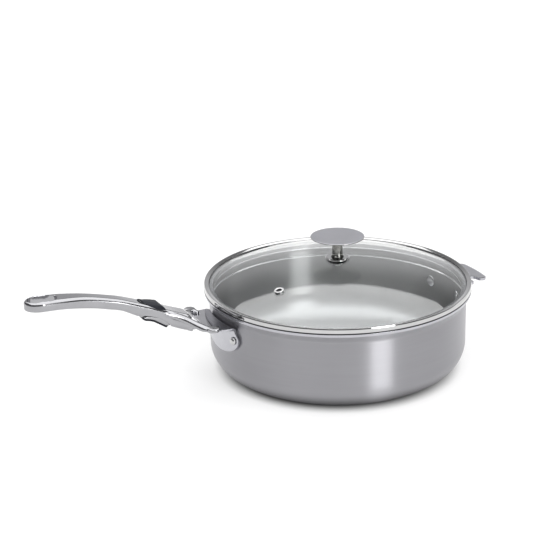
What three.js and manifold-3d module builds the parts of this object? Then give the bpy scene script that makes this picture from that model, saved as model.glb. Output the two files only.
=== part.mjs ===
// Straight-walled saute pan with a domed glass lid and a handle that comes off.
// Millimetres, +Z up. The origin is the middle of the pan's flat base.
// The handle points along -X and the fixed side grip along +X.
import * as THREE from 'three';
import { mergeVertices } from 'three/addons/utils/BufferGeometryUtils.js';
import Module from 'manifold-3d';

const wasm = await Module();
wasm.setup();

// Fits and facets
const gap = 0.3; // clearance between pieces that touch
const ringFacets = 56; // facets round the pan and the lid
const turnedFacets = 28; // facets round the knob
const pinFacets = 14; // facets round rivets, pins and eyelets

// Pan
const panRadius = 120; // outside of the wall
const panHeight = 78;
const panWall = 2.7;
const panCorner = 26; // outside radius between base and wall
const lipFlare = 4.6; // how far the pouring lip stands out
const lipHeight = 8; // height of the flared part

// Brackets: bent plates with a T-shaped tab, one for the handle and a longer one as the side grip
const bracketPlate = 2.4;
const bendRadius = 2.5; // inside of the bend
const tabDrop = 11.3; // from the rim down to the top of the tab
const tabReach = 24; // from the wall out to the end of the handle's tab
const gripReach = 31.4; // and to the end of the side grip's tab
const gripYaw = THREE.MathUtils.degToRad(1.6); // how far the side grip sits round from opposite the handle
const tabRootHalf = 28;
const tabRootCorner = 3;
const notchFromWall = 14.6; // middle of the side notches of the handle's tab
const notchHalf = 2.9;
const notchFloorHalf = 18.8; // half the width left between the notches
const gripNotchFromWall = 17; // and the same for the side grip's tab
const gripNotchHalf = 4;
const gripNotchFloorHalf = 14;
const headHalf = 25; // half the width of the T head
const gripHeadHalf = 23; // and of the side grip's
const flangeHalf = 31.5;
const flangeFoot = 28.5; // from the top of the tab down to the foot of the flange

// Rivets
const rivetAngle = THREE.MathUtils.degToRad(12);
const rivetDrop = 13.2; // from the top of the tab down to the rivets
const rivetShank = 2.4;
const rivetOuterHead = 3.7;
const rivetInnerHead = 5.6;
const rivetRise = 2.4; // height of the outer head
const rivetInnerRise = 1.6;

// Lid
const bandSheet = 0.5;
const bandCover = 3; // how far the band reaches in over the glass
const skirtDepth = 5;
const skirtSlack = 1.1; // between the skirt and the pan's inside
const glassThick = 2.6;
const seatWidth = 4; // flat ring of the glass inside the band
const shoulderWidth = 4.5; // bend from the flat ring to the dome
const shoulderRise = 1.5;
const domeRise = 21.8; // from the flat ring to the apex
const ventRadius = 79.8; // from the lid's axis
const ventAngle = THREE.MathUtils.degToRad(200.4);
const ventBore = 2.2;
const ventTube = 3.1;
const ventFlange = 4.7;
const ventFlangeThick = 0.9;

// Knob
const knobDisc = 25;
const knobDiscThick = 2.4;
const knobDiscEdge = 0.9; // height of the rim left by the bevel below
const knobStem = 5;
const knobStemHeight = 16.4;
const knobSocket = 0.8; // how deep the stem sits in the disc
const knobFlange = 11;
const knobFlangeThick = 1.7;
const gasketRadius = 9;
const gasketThick = 1;
const washerRadius = 8;
const washerThick = 1.2;
const screwShank = 2.5;
const screwReach = 11; // how far the screw runs up into the stem
const screwHead = 4.5;
const screwHeadThick = 2.6;

// Handle, measured from a line over the tab's end (u outwards) and from the tab's top (v up)
const handleStand = 26; // from the wall out to that line
const handleTopLine = [[8, 13.3], [34, 23.4], [59, 33.4], [70, 37.5], [82, 41], [104, 46.2],
  [124, 48.8], [142, 50.2]];
const handleBottomLine = [[8, -2.9], [19, 1.5], [34, 8.6], [59, 20.9], [71, 27.2], [82, 30.3],
  [93, 33.2], [104, 35.5], [124, 39], [142, 40.6]];
const handleHalfLine = [[8, 11], [19, 11], [34, 10.6], [59, 9.2], [82, 8], [104, 8.2], [124, 10],
  [142, 11.5]];
const handleFront = 8; // where the lofted grip begins
const handleShoulder = 142; // where the round end begins
const handleRound = 14.5; // length of the round end
const endBlunt = 0.2; // power of the round end's fall in height: nearer to 0 is blunter
const sectionCorner = 3.6;
const hangSlotSetback = 1.5; // from the shoulder in to the slot's middle
const hangSlotLength = 26;
const hangSlotHalf = 8;

// Fork at the handle's front
const forkPlate = 3.6; // thickness of the two arms
const armLobe = 5.6; // radius of the arms' round ends
const armSpread = 27; // half the distance between the round ends
const armLobeSetback = 6.8; // from the handle's line in to the round ends
const armRearLine = [[4.5, 13], [1.8, 16.2], [0.9, 23.5]]; // an arm's rear edge: place and half width
const armFrontLine = [[-4.8, 19.5], [-3.3, 12], [-3, 6]]; // an arm's front edge: place and half width
const armLine = [[33, 7, 22.6], [25, 8.6, 18.8], [18, 11, 15.6], [12, 14, 12.5], [6, 17.6, 8.6], [1, 21, 6],
  [-3, 24.4, 4.4], [-6.8, 27.6, 3.9]]; // an arm's middle from the grip outwards: place, half width, top
const armHalf = 3.8;
const armDepth = 6; // height of an arm where it leaves the grip
const forkCrest = [[12, 14.5], [5.5, 11.4], [0.5, 5.2]]; // top of the fork's root: place and height
const forkRoot = 5; // how far the fork runs back into the grip
const postTopDrop = 1.1; // the hook posts end this far below the arms' top
const postOverrun = 1; // and pass this far through the tab
const lugFront = 6.6; // front of the housing's underside

// Hollow under the handle
const sideWall = 3.8;
const roofThick = 4.5;
const hollowRear = 57;
const wallArch = [[52.8, 2], [51, 3], [45, 4.3], [40.5, 4.8], [36.7, 4.8], [33, 4.2], [30.3, 3.1],
  [28, 1.9], [26.8, 0.8]]; // cut in the side walls to show the trigger: place, height over the belly
const bridgeFront = 18;
const bridgeRear = 25;
const bridgeThick = 4.6;

// Latch leaf, trigger and its pin
const leafThick = 0.9;
const leafHalf = 5;
const leafCatch = 0.8; // how far the leaf's tip reaches under the tab's end
const leafBend = 5; // where the leaf turns flat
const leafRaise = 2.2; // from the belly up to the leaf's clamped end
const camMiddle = 11;
const camRadius = 1.2;
const pinU = 17;
const pinV = 8.8;
const pinRadius = 1.5;
const pinEndSkin = 1.6; // metal left over the pin's blind end
const triggerSlack = 0.6;
const triggerCrest = [[26, 2.6], [31, 5.2], [44, 6], [49, 6.3], [53, 7.2]]; // place, depth under the roof
const triggerBelly = [[53, 1.2], [52, 2.4], [49.4, 1.6], [41.4, 0.4], [36.8, 0.8], [31.2, 2],
  [28.4, 2.2]]; // place, depth below the handle
const pinLand = 2.5; // trigger left in front of the pin's middle

// Release button
const buttonRear = 53;
const buttonFront = 31;
const buttonHalf = 8;
const buttonSeat = 0.35; // running clearance on the handle's top
const buttonCrest = [[53, 0.8], [46.5, 1.2], [37, 2.3], [33.8, 2.5],
  [32.2, 1.6]]; // place and height over the handle
const shankFront = 42;
const shankRear = 47;
const shankHalf = 2.3;
const buttonTravel = 4;
const clipThick = 1.4;
const clipMargin = 2.5; // how far the clip reaches past the shank
const ribFront = 31.5;
const ribRear = 33;
const ribDrop = 2;
const springStrip = 0.5;
const springHalf = 2.5;

// How far a cutting shape runs out of the piece that it cuts
const overrun = 2;

// Places worked out from the sizes above
const panInner = panRadius - panWall;
const tabTop = panHeight - tabDrop;
const tabBottom = tabTop - bracketPlate;
const tabEnd = panRadius + tabReach;
const gripEnd = panRadius + gripReach;
const handleLine = panRadius + handleStand;
const handleEnd = handleShoulder + handleRound;
const hangSlotMiddle = handleShoulder - hangSlotSetback;
const leafTip = tabReach - handleStand - leafCatch;
const notchMiddle = panRadius + notchFromWall;
const rivetHeight = tabTop - rivetDrop;
const flangeInner = panRadius + gap;
const flangeOuter = flangeInner + bracketPlate;
const bandRadius = panRadius + lipFlare;
const bandHeight = 2 * bandSheet + 2 * gap + glassThick;
const hollowHalf = handleHalfLine[0][1] - sideWall;

const steel = (color, roughness) => new THREE.MeshStandardMaterial({ color, roughness, metalness: 1 });
const plastic = (color, roughness) => new THREE.MeshStandardMaterial({ color, roughness, metalness: 0 });
const satinSteel = steel(0xb4b3b8, 0.38);
const brightSteel = steel(0xd0d0d2, 0.14);
const springSteel = steel(0x8e8f94, 0.3);
const blackPlastic = plastic(0x2b2e33, 0.5);
const silicone = plastic(0x3a3a3c, 0.7);
const clearGlass = new THREE.MeshStandardMaterial({
  color: 0xe9f0ee, roughness: 0.05, metalness: 0, transparent: true, opacity: 0.3,
});

// Geometry helpers

function solid(geometry) {
  const bare = geometry.index ? geometry.toNonIndexed() : geometry.clone();
  bare.deleteAttribute('normal');
  bare.deleteAttribute('uv');
  const merged = mergeVertices(bare, 1e-4);
  const vertProperties = new Float32Array(merged.attributes.position.array);
  const triVerts = Uint32Array.from(merged.index.array);
  const a = new THREE.Vector3();
  const b = new THREE.Vector3();
  const c = new THREE.Vector3();
  const corner = (v, i) => v.fromArray(vertProperties, 3 * i);
  const kept = [];
  let volume = 0;
  for (let i = 0; i < triVerts.length; i += 3) {
    const [p, q, r] = triVerts.subarray(i, i + 3);
    if (p === q || q === r || r === p) continue;
    kept.push(p, q, r);
    volume += corner(a, p).dot(corner(b, q).cross(corner(c, r)));
  }
  if (volume < 0) {
    for (let i = 0; i < kept.length; i += 3) [kept[i + 1], kept[i + 2]] = [kept[i + 2], kept[i + 1]];
  }
  return new wasm.Manifold(new wasm.Mesh({ numProp: 3, vertProperties, triVerts: Uint32Array.from(kept) }));
}

function piece(name, shape, material) {
  const body = shape.isBufferGeometry ? solid(shape) : shape;
  const { vertProperties, triVerts } = body.getMesh();
  const geometry = new THREE.BufferGeometry();
  geometry.setAttribute('position', new THREE.BufferAttribute(new Float32Array(vertProperties), 3));
  geometry.setIndex(Array.from(triVerts));
  geometry.computeVertexNormals();
  const mesh = new THREE.Mesh(geometry, material);
  mesh.name = name;
  return mesh;
}

const points2 = (pairs) => pairs.map(([x, y]) => new THREE.Vector2(x, y));

// Turned about Z from [radius, height] pairs. A profile off the axis is closed into a ring.
function turned(pairs, facets) {
  const onAxis = pairs[0][0] === 0 && pairs[pairs.length - 1][0] === 0;
  const profile = onAxis ? pairs : [...pairs, pairs[0]];
  return new THREE.LatheGeometry(points2(profile), facets).rotateX(Math.PI / 2);
}

function arcPairs(cx, cy, radius, from, to, steps) {
  return Array.from({ length: steps + 1 }, (_, i) => {
    const angle = from + ((to - from) * i) / steps;
    return [cx + radius * Math.cos(angle), cy + radius * Math.sin(angle)];
  });
}

// A flat outline in X and Y, raised from one height to another.
function raised(shape, from, to, curveSegments = 8) {
  const settings = { depth: to - from, bevelEnabled: false, curveSegments };
  const geometry = new THREE.ExtrudeGeometry(shape, settings);
  return geometry.translate(0, 0, from);
}

// An outline in [u, v] of the handle, spread to both sides of its middle plane.
function sideways(pairs, half) {
  const shape = new THREE.Shape(points2(pairs.map(([u, v]) => [-u, v])));
  const geometry = new THREE.ExtrudeGeometry(shape, { depth: 2 * half, bevelEnabled: false });
  return geometry.translate(0, 0, -half).rotateX(Math.PI / 2);
}

const post = (radius, from, to, facets = pinFacets) => turned(
  [[0, from], [radius, from], [radius, to], [0, to]], facets);

// A smooth line through [place, value] pairs, as a function of place.
function smoothLine(pairs) {
  const last = pairs.length - 1;
  const slope = (i, j) => (pairs[j][1] - pairs[i][1]) / (pairs[j][0] - pairs[i][0]);
  const tangent = pairs.map((_, i) => {
    if (i === 0) return slope(0, 1);
    if (i === last) return slope(last - 1, last);
    const before = pairs[i][0] - pairs[i - 1][0];
    const after = pairs[i + 1][0] - pairs[i][0];
    return (slope(i - 1, i) * after + slope(i, i + 1) * before) / (before + after);
  });
  return (place) => {
    let i = 0;
    while (i < last - 1 && place > pairs[i + 1][0]) i += 1;
    const span = pairs[i + 1][0] - pairs[i][0];
    const t = (place - pairs[i][0]) / span;
    if (t < 0) return pairs[0][1] + tangent[0] * (place - pairs[0][0]);
    if (i === last - 1 && t > 1) return pairs[last][1] + tangent[last] * (place - pairs[last][0]);
    const s = 1 - t;
    return s * s * (1 + 2 * t) * pairs[i][1] + t * t * (3 - 2 * t) * pairs[i + 1][1]
      + span * s * t * (s * tangent[i] - t * tangent[i + 1]);
  };
}

// Pan

function panProfile() {
  const lipRadius = panRadius + lipFlare;
  const flareFoot = panHeight - lipHeight;
  const innerLip = lipRadius - panWall;
  return [
    [0, 0],
    ...arcPairs(panRadius - panCorner, panCorner, panCorner, -Math.PI / 2, 0, 6),
    [panRadius, flareFoot],
    [panRadius + 0.17 * lipFlare, flareFoot + 0.25 * lipHeight],
    [panRadius + 0.57 * lipFlare, flareFoot + 0.5 * lipHeight],
    [panRadius + 0.93 * lipFlare, flareFoot + 0.68 * lipHeight],
    [lipRadius, flareFoot + 0.8 * lipHeight],
    [lipRadius - 0.1 * panWall, panHeight - 0.15 * panWall],
    [lipRadius - 0.3 * panWall, panHeight],
    [innerLip + 0.2 * panWall, panHeight],
    [innerLip, panHeight - 0.2 * panWall],
    [panInner + 0.55 * lipFlare, flareFoot + 0.7 * lipHeight],
    [panInner + 0.15 * lipFlare, flareFoot + 0.35 * lipHeight],
    [panInner, flareFoot],
    ...arcPairs(panRadius - panCorner, panCorner, panCorner - panWall, 0, -Math.PI / 2, 5),
    [0, panWall],
  ];
}

const rivetTurns = [-gripYaw - rivetAngle, rivetAngle - gripYaw, Math.PI - rivetAngle, Math.PI + rivetAngle];

// A pin standing square to the wall at one rivet's place.
const atRivet = (geometry, turn) => geometry.rotateY(Math.PI / 2).rotateZ(turn)
  .translate(0, 0, rivetHeight);

function withRivetHoles(body) {
  const hole = (turn) => solid(atRivet(post(rivetShank + gap, panInner - 8, flangeOuter + 8), turn));
  return rivetTurns.reduce((left, turn) => left.subtract(hole(turn)), body);
}

const panBody = piece('pan_body', withRivetHoles(solid(turned(panProfile(), ringFacets))), satinSteel);

// Bracket: a flange curved to the wall, bent out into a flat T-shaped tab

// The tab in plan. Its head is crowned round the pan's axis, with round ends that reach the notches.
function tabOutline(end, notch) {
  const rootEnd = notch.middle - notch.half;
  const headStart = notch.middle + notch.half;
  const notchY = notch.floorHalf + notch.half;
  const spare = headStart + end - notch.headHalf;
  const headRound = Math.sqrt(spare ** 2 + end ** 2 - headStart ** 2 - notch.headHalf ** 2) - spare;
  const headX = headStart + headRound;
  const headY = notch.headHalf - headRound;
  const headTurn = Math.atan2(headY, headX);
  const shape = new THREE.Shape();
  shape.moveTo(panInner, -tabRootHalf);
  shape.lineTo(rootEnd - tabRootCorner, -tabRootHalf);
  shape.absarc(rootEnd - tabRootCorner, tabRootCorner - tabRootHalf, tabRootCorner, -Math.PI / 2, 0);
  shape.absarc(notch.middle, -notchY, notch.half, Math.PI, 0, true);
  shape.absarc(headX, -headY, headRound, Math.PI, 2 * Math.PI - headTurn);
  shape.absarc(0, 0, end, -headTurn, headTurn);
  shape.absarc(headX, headY, headRound, headTurn, Math.PI);
  shape.absarc(notch.middle, notchY, notch.half, 0, -Math.PI, true);
  shape.absarc(rootEnd - tabRootCorner, tabRootHalf - tabRootCorner, tabRootCorner, 0, Math.PI / 2);
  shape.lineTo(panInner, tabRootHalf);
  return shape;
}

function flangeOutline() {
  const over = tabTop + 1;
  const shape = new THREE.Shape();
  shape.moveTo(tabRootHalf, over);
  shape.lineTo(-tabRootHalf, over);
  shape.lineTo(-tabRootHalf, tabTop - bendRadius);
  shape.quadraticCurveTo(-flangeHalf, tabTop - 0.4 * rivetDrop, -flangeHalf, rivetHeight);
  shape.absellipse(0, rivetHeight, flangeHalf, flangeFoot - rivetDrop, Math.PI, 2 * Math.PI);
  shape.quadraticCurveTo(flangeHalf, tabTop - 0.4 * rivetDrop, tabRootHalf, tabTop - bendRadius);
  return shape;
}

// The side a bracket stands on is +X, before it is turned to its place.
function bracketSolid(end, notch) {
  const outerBend = bendRadius + bracketPlate;
  const bendEnd = flangeInner + outerBend;
  const ringEnd = bendEnd + 2;
  const ring = solid(turned([
    [flangeInner, tabTop - flangeFoot - 1],
    [flangeOuter, tabTop - flangeFoot - 1],
    ...arcPairs(bendEnd, tabTop - outerBend, bendRadius, Math.PI, Math.PI / 2, 4),
    [ringEnd, tabBottom],
    [ringEnd, tabTop],
    ...arcPairs(bendEnd, tabTop - outerBend, outerBend, Math.PI / 2, Math.PI, 5),
  ], ringFacets));
  const alongX = new THREE.Matrix4().makeBasis(
    new THREE.Vector3(0, 1, 0), new THREE.Vector3(0, 0, 1), new THREE.Vector3(1, 0, 0));
  const mask = raised(flangeOutline(), 0.8 * panRadius, end).applyMatrix4(alongX);
  const well = post(ringEnd - 0.5, tabBottom - 1, tabTop + 1, ringFacets);
  const tab = solid(raised(tabOutline(end, notch), tabBottom, tabTop)).subtract(solid(well));
  return ring.intersect(solid(mask)).add(tab);
}

const turnedBy = (body, radians) => body.rotate([0, 0, THREE.MathUtils.radToDeg(radians)]);
const gripNotch = {
  middle: panRadius + gripNotchFromWall,
  half: gripNotchHalf,
  floorHalf: gripNotchFloorHalf,
  headHalf: gripHeadHalf,
};
const forkNotch = { middle: notchMiddle, half: notchHalf, floorHalf: notchFloorHalf, headHalf };
const gripBracket = withRivetHoles(turnedBy(bracketSolid(gripEnd, gripNotch), -gripYaw));
const forkBracket = withRivetHoles(turnedBy(bracketSolid(tabEnd, forkNotch), Math.PI));
const sideGrip = piece('side_grip', gripBracket, satinSteel);
const handleBracket = piece('handle_bracket', forkBracket, satinSteel);

// Rivets: a wide low head inside the pan and a smaller domed head outside

function rivet(name, turn) {
  const inner = Math.sqrt(panInner ** 2 - rivetInnerHead ** 2) - gap;
  const outer = flangeOuter + gap;
  const profile = [
    [0, inner - rivetInnerRise],
    [0.6 * rivetInnerHead, inner - 0.8 * rivetInnerRise],
    [rivetInnerHead, inner - 0.25 * rivetInnerRise],
    [rivetInnerHead, inner],
    [rivetShank, inner],
    [rivetShank, outer],
    [rivetOuterHead, outer],
    [rivetOuterHead, outer + 0.25 * rivetRise],
    [0.6 * rivetOuterHead, outer + 0.8 * rivetRise],
    [0, outer + rivetRise],
  ];
  return piece(name, atRivet(turned(profile, pinFacets), turn), brightSteel);
}

const rivetNames = ['grip_rivet_front', 'grip_rivet_rear', 'handle_rivet_rear', 'handle_rivet_front'];
const rivets = rivetTurns.map((turn, i) => rivet(rivetNames[i], turn));

// Lid, built from the rim upwards

const lid = new THREE.Group();
lid.position.z = panHeight + gap;

function bandProfile() {
  const skirtOuter = panInner - skirtSlack;
  const skirtInner = skirtOuter - 1.6 * bandSheet;
  const coverInner = bandRadius - bandCover;
  const round = 1.2 * bandSheet;
  return [
    [bandRadius, 0],
    [bandRadius, bandHeight - round],
    [bandRadius - 0.3 * round, bandHeight - 0.3 * round],
    [bandRadius - round, bandHeight],
    [coverInner, bandHeight],
    [coverInner, bandHeight - bandSheet],
    [bandRadius - bandSheet, bandHeight - bandSheet],
    [bandRadius - bandSheet, bandSheet],
    [skirtInner, bandSheet],
    [skirtInner, -skirtDepth],
    [skirtOuter, -skirtDepth],
    [skirtOuter, 0],
  ];
}

const glassEdge = bandRadius - bandSheet - gap;
const glassSeat = bandSheet + gap + glassThick; // top of the flat ring
const apex = glassSeat + domeRise;
const domeFoot = glassEdge - seatWidth - shoulderWidth;
const capRise = domeRise - shoulderRise;
const domeSphere = (domeFoot ** 2 + capRise ** 2) / (2 * capRise);
const domeHeight = (radius) => apex - domeSphere + Math.sqrt(domeSphere ** 2 - radius ** 2);

function glassProfile() {
  const hole = screwShank + gap;
  const foot = glassEdge - seatWidth;
  const steps = 6;
  const top = [
    [glassEdge, glassSeat],
    [foot, glassSeat],
    [foot - 0.5 * shoulderWidth, glassSeat + 0.3 * shoulderRise],
  ];
  for (let i = 0; i <= steps; i += 1) {
    const radius = domeFoot + ((hole - domeFoot) * i) / steps;
    top.push([radius, domeHeight(radius)]);
  }
  const under = top.map(([radius, height]) => [radius, height - glassThick]).reverse();
  return [...top, ...under];
}

// Square to the dome at the steam vent, from the glass's top surface.
function atVent(geometry) {
  const tilt = Math.asin(ventRadius / domeSphere);
  return geometry.rotateY(tilt).translate(ventRadius, 0, domeHeight(ventRadius)).rotateZ(ventAngle);
}

const ventHole = atVent(post(ventTube + gap, -2 * glassThick, 2 * glassThick));
const eyelet = atVent(turned([
  [ventBore, -glassThick - gap - ventFlangeThick],
  [ventFlange - 0.4, -glassThick - gap - ventFlangeThick],
  [ventFlange - 0.4, -glassThick - gap],
  [ventTube, -glassThick - gap],
  [ventTube, gap],
  [ventFlange, gap],
  [ventFlange - 0.3, gap + ventFlangeThick],
  [ventBore + 0.5, gap + ventFlangeThick],
  [ventBore, gap + 0.4 * ventFlangeThick],
], pinFacets));

// Knob: a disc on a stem, screwed through the glass from below between two gaskets
const upperGasket = apex + gap;
const flangeSeat = upperGasket + gasketThick + gap;
const stemSeat = flangeSeat + knobFlangeThick + gap;
const stemTop = stemSeat + knobStemHeight;
const discUnder = stemTop + gap - knobSocket;
const gasketSag = apex - domeHeight(gasketRadius);
const lowerGasketTop = apex - glassThick - gasketSag - gap;
const washerTop = lowerGasketTop - gasketThick - gap;
const screwSeat = washerTop - washerThick - gap;

const washer = (radius, from, to) => turned(
  [[screwShank + gap, from], [radius, from], [radius, to], [screwShank + gap, to]], turnedFacets);

const knobDiscProfile = [
  [0, discUnder + knobSocket],
  [knobStem + gap, discUnder + knobSocket],
  [knobStem + gap, discUnder],
  [0.55 * knobDisc, discUnder],
  [knobDisc, discUnder + knobDiscThick - knobDiscEdge],
  [knobDisc, discUnder + knobDiscThick - 0.2 * knobDiscEdge],
  [knobDisc - 0.3 * knobDiscEdge, discUnder + knobDiscThick],
  [0, discUnder + knobDiscThick],
];
const knobStemProfile = [
  [0, stemSeat + screwReach + gap],
  [screwShank + gap, stemSeat + screwReach + gap],
  [screwShank + gap, stemSeat],
  [1.25 * knobStem, stemSeat],
  [knobStem, stemSeat + 0.12 * knobStemHeight],
  [0.94 * knobStem, stemSeat + 0.5 * knobStemHeight],
  [knobStem, stemTop - knobSocket],
  [knobStem, stemTop],
  [0, stemTop],
];
const knobFlangeProfile = [
  [screwShank + gap, flangeSeat],
  [knobFlange, flangeSeat],
  [knobFlange, flangeSeat + 0.45 * knobFlangeThick],
  [0.93 * knobFlange, flangeSeat + knobFlangeThick],
  [screwShank + gap, flangeSeat + knobFlangeThick],
];
const screwProfile = [
  [0, screwSeat - screwHeadThick],
  [0.6 * screwHead, screwSeat - screwHeadThick],
  [screwHead, screwSeat - 0.4 * screwHeadThick],
  [screwHead, screwSeat],
  [screwShank, screwSeat],
  [screwShank, stemSeat + screwReach],
  [0, stemSeat + screwReach],
];

lid.add(
  piece('lid_glass', solid(turned(glassProfile(), ringFacets)).subtract(solid(ventHole)), clearGlass),
  piece('lid_band', turned(bandProfile(), ringFacets), brightSteel),
  piece('vent_eyelet', eyelet, brightSteel),
  piece('knob_disc', turned(knobDiscProfile, turnedFacets), satinSteel),
  piece('knob_stem', turned(knobStemProfile, turnedFacets), brightSteel),
  piece('knob_flange', turned(knobFlangeProfile, turnedFacets), brightSteel),
  piece('knob_upper_gasket', washer(gasketRadius, upperGasket, upperGasket + gasketThick), silicone),
  piece('knob_lower_gasket', washer(gasketRadius, lowerGasketTop - gasketThick, lowerGasketTop), silicone),
  piece('knob_washer', washer(washerRadius, washerTop - washerThick, washerTop), brightSteel),
  piece('knob_screw', turned(screwProfile, turnedFacets), brightSteel),
);

// Handle, in its own group whose origin is on its own line at the height of the tab's top

const handle = new THREE.Group();
handle.position.set(-handleLine, 0, tabTop);

const handleTop = smoothLine(handleTopLine);
const handleBottom = smoothLine(handleBottomLine);
const handleHalf = smoothLine(handleHalfLine);
const roof = (u) => handleTop(u) - roofThick;
const bridgeTop = (u) => handleBottom(u) + bridgeThick;

// One cross-section of the grip: a rectangle with round corners, as [side, height] pairs.
function gripSection(half, top, bottom) {
  const corner = Math.min(sectionCorner, 0.48 * (top - bottom), 0.8 * half);
  const quarter = Math.PI / 2;
  return [
    ...arcPairs(half - corner, top - corner, corner, 0, quarter, 3),
    ...arcPairs(corner - half, top - corner, corner, quarter, 2 * quarter, 3),
    ...arcPairs(corner - half, bottom + corner, corner, 2 * quarter, 3 * quarter, 3),
    ...arcPairs(half - corner, bottom + corner, corner, 3 * quarter, 4 * quarter, 3),
  ];
}

function gripStations() {
  const stations = [];
  const step = 6.7;
  const count = Math.round((handleShoulder - handleFront) / step);
  for (let i = 0; i <= count; i += 1) {
    const u = handleFront + ((handleShoulder - handleFront) * i) / count;
    stations.push([u, handleHalf(u), handleTop(u), handleBottom(u)]);
  }
  const endHalf = handleHalf(handleShoulder);
  const middle = (handleTop(handleShoulder) + handleBottom(handleShoulder)) / 2;
  const endTall = (handleTop(handleShoulder) - handleBottom(handleShoulder)) / 2;
  for (let i = 1; i <= 6; i += 1) {
    const angle = (i * Math.PI) / 14;
    const tall = endTall * Math.cos(angle) ** endBlunt;
    const u = handleShoulder + (handleEnd - handleShoulder) * Math.sin(angle);
    stations.push([u, endHalf * Math.cos(angle), middle + tall, middle - tall]);
  }
  return stations;
}

function grip() {
  const rings = gripStations().map(([u, half, top, bottom]) => gripSection(half, top, bottom)
    .map(([side, height]) => new THREE.Vector3(-u, side, height)));
  const around = rings[0].length;
  const corners = rings.flat();
  const index = [];
  for (let i = 0; i + 1 < rings.length; i += 1) {
    for (let j = 0; j < around; j += 1) {
      const a = i * around + j;
      const b = i * around + ((j + 1) % around);
      index.push(a, a + around, b, b, a + around, b + around);
    }
  }
  const far = (rings.length - 1) * around;
  for (let j = 1; j + 1 < around; j += 1) {
    index.push(0, j, j + 1, far, far + j + 1, far + j);
  }
  const geometry = new THREE.BufferGeometry().setFromPoints(corners);
  geometry.setIndex(index);
  return geometry;
}

// One arm's bar: a band in plan along its middle, cut to a slanting side view.
function armBar(sign) {
  const outer = [];
  const inner = [];
  armLine.forEach(([u, w], i) => {
    const [fromU, fromW] = armLine[Math.max(i - 1, 0)];
    const [toU, toW] = armLine[Math.min(i + 1, armLine.length - 1)];
    const run = Math.hypot(toU - fromU, toW - fromW);
    const outU = (armHalf * (toW - fromW)) / run;
    const outW = (armHalf * (fromU - toU)) / run;
    outer.push([-u - outU, sign * (w + outW)]);
    inner.push([outU - u, sign * (w - outW)]);
  });
  const [rearU, , rearTop] = armLine[0];
  const [tipU, , tipTop] = armLine[armLine.length - 1];
  const tops = [
    [rearU + armHalf, rearTop],
    ...armLine.map(([u, , top]) => [u, top]),
    [tipU - armHalf, tipTop],
  ];
  const feet = tops.map(([u, top]) => [u, Math.max(top - armDepth, gap)]).reverse();
  const plan = new THREE.Shape(points2([...outer, ...inner.reverse()]));
  return solid(raised(plan, 0, rearTop + overrun))
    .intersect(solid(sideways([...tops, ...feet], armSpread + armLobe + overrun)));
}

// The fork: a plate in plan, cut to the housing's side view, with a bar and a round end on each arm.
function forkSolid() {
  const frontHalf = handleHalf(handleFront);
  const lobeU = -armLobeSetback;
  const lobeEdge = (turn) => [lobeU + armLobe * Math.cos(turn), armSpread + armLobe * Math.sin(turn)];
  const half = [
    [handleFront + forkRoot, frontHalf],
    [handleFront, frontHalf],
    ...armRearLine,
    lobeEdge(0.18 * Math.PI),
    [lobeU, armSpread],
    lobeEdge(-0.73 * Math.PI),
    ...armFrontLine,
  ];
  const outline = [...half, ...half.map(([u, w]) => [u, -w]).reverse()];
  const plan = new THREE.Shape(points2(outline.map(([u, w]) => [-u, w])));
  const plateTop = gap + forkPlate;
  const [rearU] = forkCrest[0];
  const tipU = lobeU - armLobe - overrun;
  const side = [
    ...forkCrest,
    [armRearLine[2][0] - forkPlate, plateTop],
    [tipU, plateTop],
    [tipU, gap],
    [lugFront, gap],
    [lugFront, handleBottom(handleFront) - 2 * gap],
    [rearU, handleBottom(rearU) + gap],
  ];
  const reach = armSpread + armLobe + overrun;
  let body = solid(raised(plan, handleBottom(handleFront) - overrun, handleTop(handleFront + forkRoot)))
    .intersect(solid(sideways(side, reach)));
  const postU = notchMiddle - handleLine;
  const postW = notchFloorHalf + notchHalf;
  for (const sign of [-1, 1]) {
    const lobe = post(armLobe, gap, plateTop, turnedFacets).translate(-lobeU, sign * armSpread, 0);
    const hook = post(notchHalf - gap, -bracketPlate - postOverrun, plateTop - postTopDrop);
    body = body.add(solid(lobe)).add(solid(hook.translate(-postU, sign * postW, 0))).add(armBar(sign));
  }
  return body;
}

function hangSlot() {
  const straight = hangSlotLength / 2 - hangSlotHalf;
  const shape = new THREE.Shape();
  shape.absarc(-hangSlotMiddle + straight, 0, hangSlotHalf, -Math.PI / 2, Math.PI / 2);
  shape.absarc(-hangSlotMiddle - straight, 0, hangSlotHalf, Math.PI / 2, 1.5 * Math.PI);
  return solid(raised(shape, 0, handleTop(handleEnd) + overrun));
}

function hollow() {
  const ahead = lugFront - overrun;
  return solid(sideways([
    [ahead, roof(handleFront) - 0.8 * (handleFront - ahead)],
    [handleFront, roof(handleFront)],
    [hollowRear / 2, roof(hollowRear / 2)],
    [hollowRear, roof(hollowRear)],
    [hollowRear, handleBottom(hollowRear) - overrun],
    [handleFront, handleBottom(handleFront) - 3 * overrun],
    [ahead, handleBottom(handleFront) - 3 * overrun],
  ], hollowHalf));
}

function arch() {
  const [rearU] = wallArch[0];
  const [frontU] = wallArch[wallArch.length - 1];
  return solid(sideways([
    [rearU, handleBottom(rearU) - overrun],
    ...wallArch.map(([u, rise]) => [u, handleBottom(u) + rise]),
    [frontU, handleBottom(frontU) - 2 * overrun],
  ], handleHalf(frontU) + overrun));
}

const leafFoot = (u) => handleBottom(u) + leafRaise;

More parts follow.
